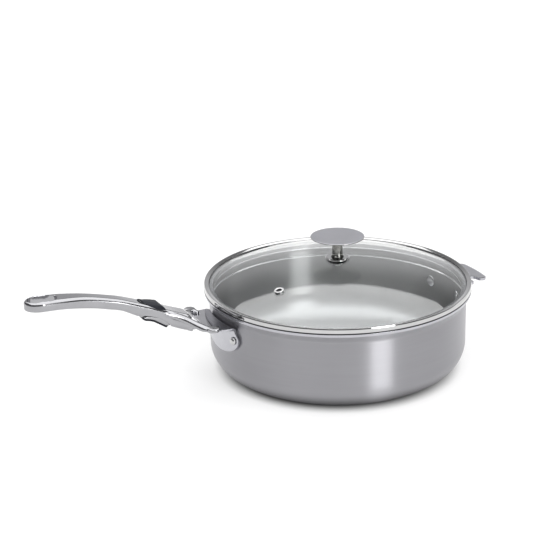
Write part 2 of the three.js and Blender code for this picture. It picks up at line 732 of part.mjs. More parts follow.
function bridge() {
  const block = solid(sideways([
    [bridgeFront, handleBottom(bridgeFront)],
    [bridgeRear, handleBottom(bridgeRear)],
    [bridgeRear, bridgeTop(bridgeRear)],
    [bridgeFront, bridgeTop(bridgeFront)],
  ], hollowHalf + 2 * gap));
  const front = bridgeFront - overrun;
  const rear = bridgeRear + overrun;
  const slot = solid(sideways([
    [front, leafFoot(front) - gap],
    [rear, leafFoot(rear) - gap],
    [rear, leafFoot(rear) + leafThick + gap],
    [front, leafFoot(front) + leafThick + gap],
  ], leafHalf + gap));
  return block.subtract(slot);
}

// A cylinder across the handle, from one side to the other.
const across = (radius, from, to) => post(radius, from, to).rotateX(-Math.PI / 2).translate(-pinU, 0, pinV);
const pinReach = handleHalf(pinU) - 2 * gap;
const pinBlind = handleHalf(pinU) - pinEndSkin;

const shankTravel = buttonTravel * Math.cos(Math.atan((handleTop(shankRear) - handleTop(shankFront))
  / (shankRear - shankFront)));

function buttonSlot() {
  const front = shankFront - shankTravel - 2 * gap;
  const rear = shankRear + gap;
  return solid(sideways([
    [front, roof(front) - overrun],
    [rear, roof(rear) - overrun],
    [rear, handleTop(rear) + overrun],
    [front, handleTop(front) + overrun],
  ], shankHalf + gap));
}

const springRib = solid(sideways([
  [ribFront, roof(ribFront) + roofThick / 4],
  [ribRear, roof(ribRear) + roofThick / 4],
  [ribRear, roof(ribRear) - ribDrop],
  [ribFront, roof(ribFront) - ribDrop],
], springHalf + 3 * gap));

const handleSolid = solid(grip()).add(forkSolid())
  .subtract(hollow())
  .subtract(arch())
  .add(bridge())
  .subtract(solid(across(pinRadius + gap, -pinBlind - gap, handleHalf(pinU) + overrun)))
  .subtract(buttonSlot())
  .add(springRib)
  .subtract(hangSlot());

// Latch leaf: clamped in the bridge, its tip under the tab's head
const leafFlat = -bracketPlate - gap - leafThick;
const leafUnder = [
  [bridgeRear - 0.5, leafFoot(bridgeRear - 0.5)],
  [bridgeFront, leafFoot(bridgeFront)],
  [camMiddle, leafFoot(bridgeFront) - 0.5 * (bridgeFront - camMiddle)],
  [leafBend, leafFlat],
  [leafTip, leafFlat],
];
const leafOver = leafUnder.map(([u, v]) => [u, v + leafThick]).reverse();
const latchLeaf = solid(sideways([...leafUnder, ...leafOver], leafHalf));

// Trigger: a rocker whose cam presses the leaf down when the rear end is pulled up
function triggerSolid() {
  const camFoot = leafUnder[2][1] + leafThick + gap;
  const outline = [
    ...arcPairs(camMiddle, camFoot + camRadius, camRadius, -0.1 * Math.PI, -0.9 * Math.PI, 4),
    [camMiddle + camRadius / 2, pinV - camRadius],
    [pinU - pinLand, roof(pinU - pinLand) - triggerSlack],
    ...triggerCrest.map(([u, depth]) => [u, roof(u) - depth]),
    ...triggerBelly.map(([u, depth]) => [u, handleBottom(u) - depth]),
    [bridgeRear + 2 * triggerSlack, handleBottom(bridgeRear + 2 * triggerSlack)],
    [bridgeRear + triggerSlack, bridgeTop(bridgeRear) + triggerSlack],
    [bridgeFront + triggerSlack, bridgeTop(bridgeFront) + triggerSlack + gap],
    [pinU - pinLand, bridgeTop(bridgeFront)],
  ];
  return solid(sideways(outline, hollowHalf - triggerSlack))
    .subtract(solid(across(pinRadius + gap, -handleHalf(pinU), handleHalf(pinU))));
}

// Release button: a wedge on the handle's top with a shank through the roof
function buttonSolid() {
  const seat = (u) => handleTop(u) + buttonSeat;
  const wedge = solid(sideways([
    [buttonFront, seat(buttonFront)],
    [(buttonFront + buttonRear) / 2, seat((buttonFront + buttonRear) / 2)],
    [buttonRear, seat(buttonRear)],
    ...buttonCrest.map(([u, rise]) => [u, handleTop(u) + rise]),
  ], buttonHalf));
  const shank = solid(sideways([
    [shankFront, roof(shankFront) - clipThick - 2 * gap],
    [shankRear, roof(shankRear) - clipThick - 2 * gap],
    [shankRear, seat(shankRear) + gap],
    [shankFront, seat(shankFront) + gap],
  ], shankHalf));
  return wedge.add(shank);
}

const clipFront = shankFront - clipMargin;
const clipRear = shankRear + clipMargin;

function clipSolid() {
  const plate = sideways([
    [clipFront, roof(clipFront) - gap - clipThick],
    [clipRear, roof(clipRear) - gap - clipThick],
    [clipRear, roof(clipRear) - gap],
    [clipFront, roof(clipFront) - gap],
  ], shankHalf + clipMargin);
  const hole = sideways([
    [shankFront - gap, roof(shankFront) - 2 * overrun],
    [shankRear + gap, roof(shankRear) - 2 * overrun],
    [shankRear + gap, roof(shankRear) + overrun],
    [shankFront - gap, roof(shankFront) + overrun],
  ], shankHalf + gap);
  return solid(plate).subtract(solid(hole));
}

// Return spring: a strip bent into a U between the rib and the clip
function springSolid() {
  const front = ribRear + gap;
  const rear = clipFront - gap;
  const top = (u) => roof(u) - gap;
  const foot = (u) => roof(u) - ribDrop - gap;
  return solid(sideways([
    [front, top(front)],
    [front, foot(front)],
    [rear, foot(rear)],
    [rear, top(rear)],
    [rear - springStrip, top(rear - springStrip)],
    [rear - springStrip, foot(rear - springStrip) + springStrip],
    [front + springStrip, foot(front + springStrip) + springStrip],
    [front + springStrip, top(front + springStrip)],
  ], springHalf));
}

handle.add(
  piece('handle_body', handleSolid, brightSteel),
  piece('latch_leaf', latchLeaf, springSteel),
  piece('trigger', triggerSolid(), blackPlastic),
  piece('trigger_pin', across(pinRadius, -pinBlind, pinReach), brightSteel),
  piece('release_button', buttonSolid(), blackPlastic),
  piece('button_clip', clipSolid(), springSteel),
  piece('button_spring', springSolid(), springSteel),
);

const pan = new THREE.Group();
pan.add(panBody, handleBracket, sideGrip, ...rivets, lid, handle);

export default pan;
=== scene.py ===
# Looks for a straight-walled saute pan with a domed glass lid and a handle that comes off.
# The lengths named below are in millimetres, and Blender's own units are metres.
import math

import bmesh
import bpy
from mathutils import Matrix, Vector
from mathutils.bvhtree import BVHTree
from mathutils.geometry import delaunay_2d_cdt


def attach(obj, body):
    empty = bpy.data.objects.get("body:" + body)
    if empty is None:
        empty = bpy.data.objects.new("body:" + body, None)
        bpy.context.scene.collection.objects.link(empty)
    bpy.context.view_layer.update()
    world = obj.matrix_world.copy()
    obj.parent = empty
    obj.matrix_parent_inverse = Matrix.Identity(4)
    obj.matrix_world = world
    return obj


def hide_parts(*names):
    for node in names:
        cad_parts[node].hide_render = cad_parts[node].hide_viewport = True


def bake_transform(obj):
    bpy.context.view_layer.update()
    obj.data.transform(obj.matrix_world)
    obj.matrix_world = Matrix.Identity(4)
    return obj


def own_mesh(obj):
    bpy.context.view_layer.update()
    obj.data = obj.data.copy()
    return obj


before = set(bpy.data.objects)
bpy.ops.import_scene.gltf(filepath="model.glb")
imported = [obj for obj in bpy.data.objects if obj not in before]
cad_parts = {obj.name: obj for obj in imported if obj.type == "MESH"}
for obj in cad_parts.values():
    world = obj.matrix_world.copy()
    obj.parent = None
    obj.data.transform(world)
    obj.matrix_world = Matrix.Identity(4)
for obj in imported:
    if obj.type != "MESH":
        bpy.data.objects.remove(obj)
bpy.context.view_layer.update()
MM = 0.001

# Pan
PAN_RADIUS = 120
PAN_WALL = 2.7
PAN_CORNER = 26
LIP_FLARE = 4.6
LIP_FOOT = 68.5
LIP_BEND = 75
LIP_TOP = 77.6
LEDGE_FOOT = 65

# Brackets and rivets. A notch has its middle, half width and floor, and its head's half width
PLATE = 2.4
BEND = 2.5
TAB_TOP = 66.7
TAB_END = 144
GRIP_END = 151.4
GRIP_YAW = math.radians(1.6)
ROOT_HALF = 28
ROOT_CORNER = 3
TAB_NOTCH = (134.6, 2.9, 18.8, 25)
GRIP_NOTCH = (137, 4, 14, 23)
FLANGE_HALF = 31.5
FLANGE_FOOT = 28.5
FLANGE_INNER = PAN_RADIUS + 0.3
SHEET_MIDDLE = FLANGE_INNER + PLATE / 2
SHEET_BEND = BEND + PLATE / 2
SHEET_EDGE = 0.55
SHEET_MESH = 1.6
BEND_FOOT = TAB_TOP - BEND - PLATE
BEND_RUN = SHEET_BEND * math.pi / 2
RIVET_ANGLE = math.radians(12)
RIVET_HEIGHT = TAB_TOP - 13.2
RIVET_SHANK = 2.4
RIVET_INNER_HEAD = 5.6
RIVET_OUTER_HEAD = 3.7
RIVET_PLAY = 0.3

# Lid and knob, with heights over the lid's own foot
LID_FOOT = 78.3
BAND_RADIUS = 124.6
BAND_HEIGHT = 4.6
GLASS_EDGE = 123.8
GLASS_SEAT = 3.4
GLASS_THICK = 2.6
SKIRT_OUTER = 116.2
SKIRT_INNER = 115.4
SKIRT_LIP = 114.9
SKIRT_FOOT = -5
DOME_FOOT = 115.3
DOME_EDGE = DOME_FOOT - 6
APEX = 25.2
CAP_RISE = 20.3
DOME_SPHERE = (DOME_FOOT ** 2 + CAP_RISE ** 2) / (2 * CAP_RISE)
VENT_RADIUS = 79.8
VENT_ANGLE = math.radians(200.4)
VENT_BORE = 2.2
VENT_SHANK = 3.1
VENT_UNDERSIDE = 4.3
VENT_RIM = 4.7
KNOB_RADIUS = 25
KNOB_RISE = 20
KNOB_HOLE = 2.8
FLANGE_RADIUS = 11.3
UPPER_SEAL_RADIUS = 6.7
LOWER_SEAL_RADIUS = 9
WASHER_RADIUS = 8
SCREW_REACH = 11

# Handle: u outwards from its own line, v up from the top of the tab, w across
HANDLE_LINE = 146
TOP_LINE = [(8, 12.8), (20, 17.5), (34, 23.4), (59, 33.4), (70, 37.5), (82, 41), (104, 46.2), (124, 48.8),
            (142, 50.2)]
BOTTOM_LINE = [(8, -2.9), (19, 1.5), (34, 8.6), (59, 20.9), (71, 27.2), (82, 30.3), (93, 33.2), (104, 35.5),
               (124, 39), (142, 40.6)]
HALF_LINE = [(8, 11), (19, 11), (34, 10.6), (59, 9.2), (82, 8), (104, 8.2), (124, 10), (142, 11.5)]
HANDLE_FRONT = 8
HANDLE_SHOULDER = 142
HANDLE_END = 156.5
END_BLUNT = 0.2
SECTION_CORNER = 3.6
SLOT_MIDDLE = 140.5
SLOT_LENGTH = 26
SLOT_HALF = 8
HOLLOW_HALF = 7.2
HOLLOW_ROOF = 4.5
HOLLOW_END = 57
WALL_ARCH = [(52.8, 2), (51, 3), (45, 4.3), (40.5, 4.8), (36.7, 4.8), (33, 4.2), (30.3, 3.1), (28, 1.9),
             (26.8, 0.8)]
BRIDGE = (18, 25)
BRIDGE_THICK = 4.6

# Fork: its arms' middle lines as u, w and v of the top
ARM_LINE = [(33, 7, 22.6), (25, 8.6, 18.9), (18, 11, 15.7), (12, 14, 12.6), (6, 17.6, 8.8), (1, 21, 6.1),
            (-3, 24.4, 4.5), (-6.8, 27.6, 3.9)]
ARM_HALF = 4
ARM_DEPTH = 6
FORK_FOOT = 0.3
FORK_TOP = 3.9
LOBE_U = -6.8
LOBE_W = 27
LOBE_RADIUS = 5.6
POST_U = -11.4
POST_W = 21.7
POST_RADIUS = 2.6
POST_FOOT = -3.4

# Trigger, button and springs
TRIGGER_HALF = 6.4
TRIGGER_BELLY = [(52.2, 16.4), (51.4, 15), (49.2, 13.8), (45.5, 12.9), (41.8, 11.5), (36.2, 7.8),
                 (30.6, 4.1), (29.2, 4.3)]
PAD_HALF = 6.8
BUTTON_CREST = [(31, 0.5), (32.2, 1.6), (33.8, 2.5), (37, 2.3), (41, 1.8), (46.5, 1), (49.6, 0.5)]
BUTTON_WIDTH = [(31, 9.4), (36, 9.8), (41, 9.5), (46.5, 8.2), (49.6, 6.4)]
# The thin black sheet by the button is painted shadow, as u and half width.
BUTTON_PAINTED_GAP = [(47, 7.4), (50.4, 7), (52.3, 5), (53, 2)]
BUTTON_SHANK = (42, 47)
SHANK_HALF = 2.3

# Studio, in metres
CAMERA_PLACE = (-0.6706, -1.2303, 0.6021)
CAMERA_AIM = (0.41689, 0.83981, -0.34775)
CAMERA_ROLL = math.radians(-0.87)
CAMERA_LENS_MM = 102.857
FLOOR_HALF = 30
FLOOR_DROP = 0.0004
STUDIO_TURN = math.radians(-26.4)


# Meshes

def mesh_object(name, verts_mm, faces):
    """A smooth-shaded object from points in mm, with its sharp edges kept."""
    mesh = bpy.data.meshes.new(name)
    mesh.from_pydata([Vector(v) * MM for v in verts_mm], [], faces)
    mesh.validate()
    obj = bpy.data.objects.new(name, mesh)
    bpy.context.collection.objects.link(obj)
    shade(obj, 35)
    return obj


def shade(obj, crease_degrees):
    """Turns the faces outwards and shades them smooth, apart from edges past the crease angle."""
    bm = bmesh.new()
    bm.from_mesh(obj.data)
    bmesh.ops.recalc_face_normals(bm, faces=bm.faces)
    bm.to_mesh(obj.data)
    bm.free()
    obj.data.shade_smooth()
    obj.data.set_sharp_from_angle(angle=math.radians(crease_degrees))


def bake(obj):
    """Turns the object's modifiers into its mesh."""
    depsgraph = bpy.context.evaluated_depsgraph_get()
    mesh = bpy.data.meshes.new_from_object(obj.evaluated_get(depsgraph))
    obj.modifiers.clear()
    obj.data = mesh


def fillet(corners, closed=False):
    """A line through [x, y, radius] corners with each corner rounded."""
    points = []
    count = len(corners)
    for i, (x, y, radius) in enumerate(corners):
        here = Vector((x, y))
        if radius == 0 or (not closed and i in (0, count - 1)):
            points.append((x, y))
            continue
        before = (Vector(corners[i - 1][:2]) - here).normalized()
        after = (Vector(corners[(i + 1) % count][:2]) - here).normalized()
        half = before.angle(after) / 2
        if half > math.pi / 2 - 1e-3:
            points.append((x, y))
            continue
        reach = radius / math.tan(half)
        centre = here + (before + after).normalized() * (radius / math.sin(half))
        start = here + before * reach - centre
        turn = start.angle_signed(here + after * reach - centre)
        steps = max(3, round(abs(turn) / math.radians(7)))
        for k in range(steps + 1):
            spot = start.copy()
            spot.rotate(Matrix.Rotation(-turn * k / steps, 2))
            points.append(tuple(centre + spot))
    return points


def lathe(name, path, steps):
    """A surface turned about Z. A path off the axis is closed into a ring."""
    on_axis = path[0][0] == 0 and path[-1][0] == 0
    verts = []
    rows = []
    for radius, height in path:
        if radius == 0:
            rows.append([len(verts)] * steps)
            verts.append((0, 0, height))
            continue
        rows.append(list(range(len(verts), len(verts) + steps)))
        for k in range(steps):
            angle = 2 * math.pi * k / steps
            verts.append((radius * math.cos(angle), radius * math.sin(angle), height))
    if not on_axis:
        rows.append(rows[0])
    faces = []
    for low, high in zip(rows, rows[1:]):
        for k in range(steps):
            after = (k + 1) % steps
            ring = [low[k], low[after], high[after], high[k]]
            faces.append(list(dict.fromkeys(ring)))
    return mesh_object(name, verts, faces)


def placed(obj, matrix):
    """Moves the mesh itself, so that the object stays at the origin."""
    obj.data.transform(matrix)
    return obj


def lift(obj, height_mm):
    return placed(obj, Matrix.Translation((0, 0, height_mm * MM)))


def prism(name, outline, low, high, to_space):
    """A closed solid from a flat outline, raised from low to high and mapped by to_space(x, y, h)."""
    count = len(outline)
    verts = [to_space(x, y, h) for h in (low, high) for x, y in outline]
    faces = [list(range(count))[::-1], list(range(count, 2 * count))]
    for k in range(count):
        after = (k + 1) % count
        faces.append([k, after, count + after, count + k])
    return mesh_object(name, verts, faces)


def handle_side(u, v, w):
    """The place of a point of the handle's side view, at w across it."""
    return (-HANDLE_LINE - u, w, TAB_TOP + v)


def handle_plan(u, w, v):
    """The place of a point of the handle's plan, at the height v."""
    return handle_side(u, v, w)


def modifier(obj, kind, **settings):
    added = obj.modifiers.new(kind.lower(), kind)
    for key, value in settings.items():
        setattr(added, key, value)


def cut(obj, *tools, operation="DIFFERENCE"):
    """Takes the tools out of obj, or keeps only what it shares with them."""
    for tool in tools:
        modifier(obj, "BOOLEAN", object=tool, operation=operation, solver="EXACT")
    bake(obj)
    for tool in tools:
        bpy.data.objects.remove(tool)


def joined(obj, *others):
    """Puts the other objects' faces into obj."""
    bm = bmesh.new()
    for piece in (obj, *others):
        bm.from_mesh(piece.data)
    bm.to_mesh(obj.data)
    bm.free()
    for piece in others:
        bpy.data.objects.remove(piece)
    return obj


def softened(obj, width_mm, segments=3):
    """Rounds every clear edge."""
    modifier(obj, "BEVEL", width=width_mm * MM, segments=segments, limit_method="ANGLE",
             angle_limit=math.radians(40), use_clamp_overlap=True)
    bake(obj)
    shade(obj, 60)
    return obj


def melted(obj, voxel_mm, rounds):
    """Fuses overlapping solids into one skin and rounds their edges."""
    modifier(obj, "REMESH", mode="VOXEL", voxel_size=voxel_mm * MM)
    modifier(obj, "SMOOTH", factor=0.5, iterations=rounds)
    bake(obj)
    obj.data.shade_smooth()
    return obj


def snapped(obj, *skins):
    """Lays the points of a melted mesh that lie next to a clean skin onto that skin."""
    near_mm = 0.1
    far_mm = 0.22
    trees = []
    for skin in skins:
        corners = [v.co for v in skin.data.vertices]
        trees.append(BVHTree.FromPolygons(corners, [p.vertices for p in skin.data.polygons]))
        bpy.data.objects.remove(skin)
    for vertex in obj.data.vertices:
        hits = [tree.find_nearest(vertex.co, far_mm * MM) for tree in trees]
        hits = [hit for hit in hits if hit[0] is not None]
        if hits:
            spot, _, _, away = min(hits, key=lambda hit: hit[3])
            pull = min(1, (far_mm - away / MM) / (far_mm - near_mm))
            vertex.co = vertex.co.lerp(spot, pull)
    obj.data.update()


def smooth_line(pairs):
    """A smooth curve through [place, value] pairs, as a function of place."""
    last = len(pairs) - 1

    def slope(i, j):
        return (pairs[j][1] - pairs[i][1]) / (pairs[j][0] - pairs[i][0])

    tangents = [slope(0, 1)]
    for i in range(1, last):
        before = pairs[i][0] - pairs[i - 1][0]
        after = pairs[i + 1][0] - pairs[i][0]
        tangents.append((slope(i - 1, i) * after + slope(i, i + 1) * before) / (before + after))
    tangents.append(slope(last - 1, last))

    def value(place):
        i = 0
        while i < last - 1 and place > pairs[i + 1][0]:
            i += 1
        span = pairs[i + 1][0] - pairs[i][0]
        t = (place - pairs[i][0]) / span
        if t < 0:
            return pairs[0][1] + tangents[0] * (place - pairs[0][0])
        if t > 1:
            return pairs[last][1] + tangents[last] * (place - pairs[last][0])
        s = 1 - t
        return (s * s * (1 + 2 * t) * pairs[i][1] + t * t * (3 - 2 * t) * pairs[i + 1][1]
                + span * s * t * (s * tangents[i] - t * tangents[i + 1]))

    return value


handle_top = smooth_line(TOP_LINE)
handle_bottom = smooth_line(BOTTOM_LINE)
handle_half = smooth_line(HALF_LINE)


def hollow_roof(u):
    return handle_top(u) - HOLLOW_ROOF


# Materials

class Shader:
    """A principled material with helpers for its texture nodes."""

    def __init__(self, name, color, metallic, roughness, **constants):
        self.material = bpy.data.materials.new(name)
        self.material.use_nodes = True
        self.nodes = self.material.node_tree.nodes
        self.links = self.material.node_tree.links
        self.surface = self.nodes["Principled BSDF"]
        self.surface.inputs["Base Color"].default_value = (*color, 1)
        self.surface.inputs["Metallic"].default_value = metallic
        self.surface.inputs["Roughness"].default_value = roughness
        for key, value in constants.items():
            self.surface.inputs[key.replace("_", " ").title()].default_value = value

    def add(self, kind, **settings):
        node = self.nodes.new(kind)
        for key, value in settings.items():
            setattr(node, key, value)
        return node

    def math(self, operation, a, b=None):
        node = self.add("ShaderNodeMath", operation=operation)
        for socket, value in zip(node.inputs, (a, b)):
            if isinstance(value, (int, float)):
                socket.default_value = value
            elif value is not None:
                self.links.new(value, socket)
        return node.outputs[0]

    def place(self):
        return self.add("ShaderNodeTexCoord").outputs["Object"]

    def brushed_round(self, along, across):
        """Coordinates that stretch a texture into lines round the Z axis."""
        split = self.add("ShaderNodeSeparateXYZ")
        self.links.new(self.place(), split.inputs[0])
        x, y, z = split.outputs
        angle = self.math("ARCTAN2", y, x)
        squares = [self.math("MULTIPLY", side, side) for side in (x, y)]
        radius = self.math("SQRT", self.math("ADD", *squares))
        join = self.add("ShaderNodeCombineXYZ")
        self.links.new(self.math("MULTIPLY", angle, along), join.inputs[0])
        self.links.new(self.math("MULTIPLY", z, across), join.inputs[1])
        self.links.new(self.math("MULTIPLY", radius, across), join.inputs[2])
        return join.outputs[0]

    def noise(self, vector, scale, detail):
        node = self.add("ShaderNodeTexNoise")
        node.inputs["Scale"].default_value = scale
        node.inputs["Detail"].default_value = detail
        self.links.new(vector, node.inputs["Vector"])
        return node.outputs[0]

    def ramp(self, value, start, stop, low, high):
        """Eases from low to high while the value goes from start to stop."""
        node = self.add("ShaderNodeMapRange", interpolation_type="SMOOTHSTEP")
        ends = {"From Min": start, "From Max": stop, "To Min": low, "To Max": high}
        for socket, end in ends.items():
            node.inputs[socket].default_value = end
        self.links.new(value, node.inputs["Value"])
        return node.outputs[0]

    def rough(self, value, low, high):
        node = self.add("ShaderNodeMapRange")
        node.inputs["To Min"].default_value = low
        node.inputs["To Max"].default_value = high
        self.links.new(value, node.inputs["Value"])
        self.links.new(node.outputs[0], self.surface.inputs["Roughness"])

    def tinted(self, value, dark, light):
        colors = self.add("ShaderNodeValToRGB")
        colors.color_ramp.elements[0].color = (*dark, 1)
        colors.color_ramp.elements[1].color = (*light, 1)
        self.links.new(value, colors.inputs[0])
        self.links.new(colors.outputs[0], self.surface.inputs["Base Color"])

    def shaded(self, low_mm, high_mm, low_level, high_level):
        """Darkens the colour by height as painted shade, such as near the base, where the steel would mirror
        the shadow it stands in.
        """
        split = self.add("ShaderNodeSeparateXYZ")
        self.links.new(self.place(), split.inputs[0])
        level = self.ramp(split.outputs[2], low_mm * MM, high_mm * MM, low_level, high_level)
        scale = self.add("ShaderNodeVectorMath", operation="SCALE")
        self.links.new(self.surface.inputs["Base Color"].links[0].from_socket, scale.inputs[0])
        self.links.new(level, scale.inputs["Scale"])
        self.links.new(scale.outputs[0], self.surface.inputs["Base Color"])

    def bump(self, value, strength, depth_mm):
        node = self.add("ShaderNodeBump")
        node.inputs["Strength"].default_value = strength
        node.inputs["Distance"].default_value = depth_mm * MM
        self.links.new(value, node.inputs["Height"])
        self.links.new(node.outputs[0], self.surface.inputs["Normal"])


def brushed_steel(name, color, low, high, anisotropic, painted_shade=None):
    """Satin steel with turning lines round the pan's axis: fine in its gloss, coarser in its tint."""
    shader = Shader(name, color, 1, low, anisotropic=anisotropic, anisotropic_rotation=0.25)
    lines = shader.noise(shader.brushed_round(along=3, across=2400), scale=1, detail=4)
    bands = shader.noise(shader.brushed_round(along=2, across=420), scale=1, detail=3)
    cloud = shader.noise(shader.place(), scale=22, detail=2)
    shader.rough(lines, low, high)
    tint = shader.math("MULTIPLY", shader.math("ADD", cloud, bands), 0.5)
    shader.tinted(tint, [0.9 * c for c in color], [1.03 * c for c in color])
    # Painted shade: the colour darkens by height.
    if painted_shade:
        shader.shaded(*painted_shade)
    shader.bump(lines, strength=0.12, depth_mm=0.05)
    tangent = shader.add("ShaderNodeTangent", direction_type="RADIAL", axis="Z")
    shader.links.new(tangent.outputs[0], shader.surface.inputs["Tangent"])
    return shader.material


def plain_steel(name, color, low, high, grain):
    """Steel with an even finish: cloudy gloss and a trace of polishing marks."""
    shader = Shader(name, color, 1, low)
    cloud = shader.noise(shader.place(), scale=grain, detail=4)
    shader.rough(cloud, low, high)
    shader.tinted(cloud, [0.88 * c for c in color], [1.06 * c for c in color])
    fine = shader.noise(shader.place(), scale=40 * grain, detail=2)
    shader.bump(fine, strength=0.05, depth_mm=0.02)
    return shader.material


def clear_glass():
    shader = Shader("clear_glass", (0.97, 0.985, 0.98), 0, 0, transmission_weight=1)
    shader.surface.inputs["IOR"].default_value = 1.5
    haze = shader.noise(shader.place(), scale=30, detail=3)
    shader.rough(haze, low=0, high=0.012)
    return shader.material


def plastic(name, color, low, high):
    """Moulded plastic or rubber with a fine grain."""
    shader = Shader(name, color, 0, low)
    shader.surface.inputs["Specular IOR Level"].default_value = 0.2
    grain = shader.noise(shader.place(), scale=2600, detail=2)
    cloud = shader.noise(shader.place(), scale=120, detail=3)
    shader.rough(grain, low, high)
    shader.tinted(cloud, [0.8 * c for c in color], color)
    shader.bump(grain, strength=0.25, depth_mm=0.06)
    return shader.material


# Each colour is followed by its lowest and highest roughness
# The outer wall's colour darkens towards its base as painted shade.
wall_steel = brushed_steel("wall_steel", (0.375, 0.372, 0.392), 0.3, 0.36, 1, painted_shade=(4, 18, 0.42, 1))
inner_steel = brushed_steel("inner_steel", (0.49, 0.49, 0.49), 0.36, 0.42, 1)
# The floor's colour darkens up its corner as painted shade.
floor_steel = brushed_steel("floor_steel", (0.68, 0.685, 0.695), 0.46, 0.54, 0.5, painted_shade=(8, 26, 1, 0.77))
disc_steel = plain_steel("disc_steel", (0.44, 0.44, 0.47), 0.34, 0.44, 90)
stem_steel = plain_steel("stem_steel", (0.22, 0.22, 0.21), 0.06, 0.12, 60)
rim_steel = plain_steel("rim_steel", (0.55, 0.55, 0.55), 0.05, 0.1, 60)
tab_steel = plain_steel("tab_steel", (0.48, 0.48, 0.51), 0.14, 0.24, 90)
# The tabs' flat tops are glossier, and their lighter colour is a painted highlight.
tab_top_painted_highlight_steel = plain_steel("tab_top_painted_highlight_steel", (0.57, 0.57, 0.595), 0.04, 0.08, 90)
# Lighter steel laid on as painted highlight: inner rivet heads, the pan's ledge and the lid skirt's foot.
painted_highlight_steel = plain_steel("painted_highlight_steel", (0.75, 0.75, 0.76), 0.1, 0.18, 80)
cast_steel = plain_steel("cast_steel", (0.38, 0.38, 0.394), 0.08, 0.16, 70)
spring_steel = plain_steel("spring_steel", (0.4, 0.4, 0.42), 0.25, 0.35, 80)
glass = clear_glass()
charcoal = plastic("charcoal", (0.011, 0.0125, 0.019), 0.45, 0.6)
# Black for the knob's real seals, and also painted shade: the gap where lid meets pan, and the vent's bore.
silicone = plastic("silicone", (0.045, 0.045, 0.048), 0.55, 0.7)


def dress(obj, material, body, node):
    """Gives a piece its material and body, and lets it stand for its CAD node."""
    obj.data.materials.clear()
    obj.data.materials.append(material)
    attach(obj, body)
    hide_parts(node)
    return obj


def painted(obj, choose):
    """Gives each face the material that choose(face) returns."""
    materials = list(obj.data.materials)
    for face in obj.data.polygons:
        material = choose(face)
        if material not in materials:
            materials.append(material)
            obj.data.materials.append(material)
        face.material_index = materials.index(material)


# Pan

def pan():
    lip = PAN_RADIUS + LIP_FLARE
    inner = PAN_RADIUS - PAN_WALL
    inner_lip = lip - PAN_WALL
    path = fillet([
        (0, 0, 0),
        (PAN_RADIUS, 0, PAN_CORNER),
        (PAN_RADIUS, LIP_FOOT, 6),
        (lip, LIP_BEND, 2.2),
        (lip, LIP_TOP, 0.5),
        (inner_lip, LIP_TOP, 0.5),
        (inner_lip, LIP_BEND - 0.4, 2),
        (inner + 1.6, LIP_FOOT + 1, 3),
        (inner + 1, LEDGE_FOOT + 0.9, 0.3),
        (inner, LEDGE_FOOT, 0.4),
        (inner, PAN_WALL, PAN_CORNER - PAN_WALL),
        (0, PAN_WALL, 0),
    ])
    obj = lathe("pan_shell", path, steps=256)
    dress(obj, wall_steel, "pan", "pan_body")
    painted(obj, pan_finish)


def pan_finish(face):
    """Satin outside and in, with a brighter floor; the outer lip is glossier, and it and the inner ledge
    take lighter steel as painted highlights; the lip's top is black as painted shadow where the lid meets
    it.
    """
    radius = face.center.xy.length / MM
    height = face.center.z / MM
    faces_in = face.normal.xy.dot(face.center.xy) < 0
    on_floor = faces_in or face.normal.z > 0.8
    if on_floor and radius < PAN_RADIUS and PAN_WALL / 2 < height < PAN_CORNER:
        return floor_steel
    # Painted shadow: the lip's top is black where the lid sits on it.
    if face.normal.z > 0.4 and height > LIP_TOP - 0.6:
        return silicone
    # Painted highlight: the outer lip above its bend is glossier, and its lighter colour is painted.
    if not faces_in and height > LIP_BEND:
        return tab_steel
    # Painted highlight: the ledge takes the lighter steel.
    if faces_in and LEDGE_FOOT - 0.3 < height < LEDGE_FOOT + 1:
        return painted_highlight_steel
    if faces_in and height > PAN_CORNER:
        return inner_steel
    return wall_steel


# Brackets

def bracket_outline(end, notch):
    """Half of the sheet's outline, as [turn round the pan, length along the sheet] pairs."""
    notch_middle, notch_half, notch_floor, head_half = notch
    tab_start = SHEET_MIDDLE + SHEET_BEND
    pairs = []
    foot_steps = 24
    for k in range(foot_steps + 1):
        angle = math.pi / 2 * (k / foot_steps - 1)
        w = FLANGE_HALF * math.cos(angle)
        z = RIVET_HEIGHT + (FLANGE_FOOT - TAB_TOP + RIVET_HEIGHT) * math.sin(angle)
        pairs.append((math.asin(w / SHEET_MIDDLE), z - BEND_FOOT))
    root_turn = math.asin(ROOT_HALF / tab_start)
    top_turn = pairs[-1][0]
    side_steps = 8
    for k in range(1, side_steps + 1):
        t = k / side_steps
        turn = top_turn + (root_turn - top_turn) * t * t
        pairs.append((turn, (RIVET_HEIGHT - BEND_FOOT) * (1 - t)))
    bend_steps = 5
    for k in range(1, bend_steps + 1):
        pairs.append((root_turn, BEND_RUN * k / bend_steps))
    root_end = notch_middle - notch_half
    head_start = notch_middle + notch_half
    spare = head_start + end - head_half
    head_round = math.sqrt(spare ** 2 + end ** 2 - head_start ** 2 - head_half ** 2) - spare
    head_x = head_start + head_round
    head_y = head_half - head_round
    head_turn = math.atan2(head_y, head_x)
    plan = arc(root_end - ROOT_CORNER, ROOT_HALF - ROOT_CORNER, ROOT_CORNER, math.pi / 2, 0)
    plan += arc(notch_middle, notch_floor + notch_half, notch_half, -math.pi, 0)
    plan += arc(head_x, head_y, head_round, math.pi, head_turn)
    plan += arc(0, 0, end, head_turn, 0)
    for x, y in plan:
        pairs.append((math.atan2(y, x), BEND_RUN + math.hypot(x, y) - tab_start))
    return pairs


def arc(cx, cy, radius, start, stop, steps=14):
    """Points along an arc, both ends included."""
    return [(cx + radius * math.cos(start + (stop - start) * k / steps),
             cy + radius * math.sin(start + (stop - start) * k / steps)) for k in range(steps + 1)]


def inside(point, outline):
    """Whether the point lies within the closed outline."""
    x, y = point
    odd = False
    for (x0, y0), (x1, y1) in zip(outline, outline[1:] + outline[:1]):
        if (y0 > y) != (y1 > y) and x < x0 + (y - y0) * (x1 - x0) / (y1 - y0):
            odd = not odd
    return odd


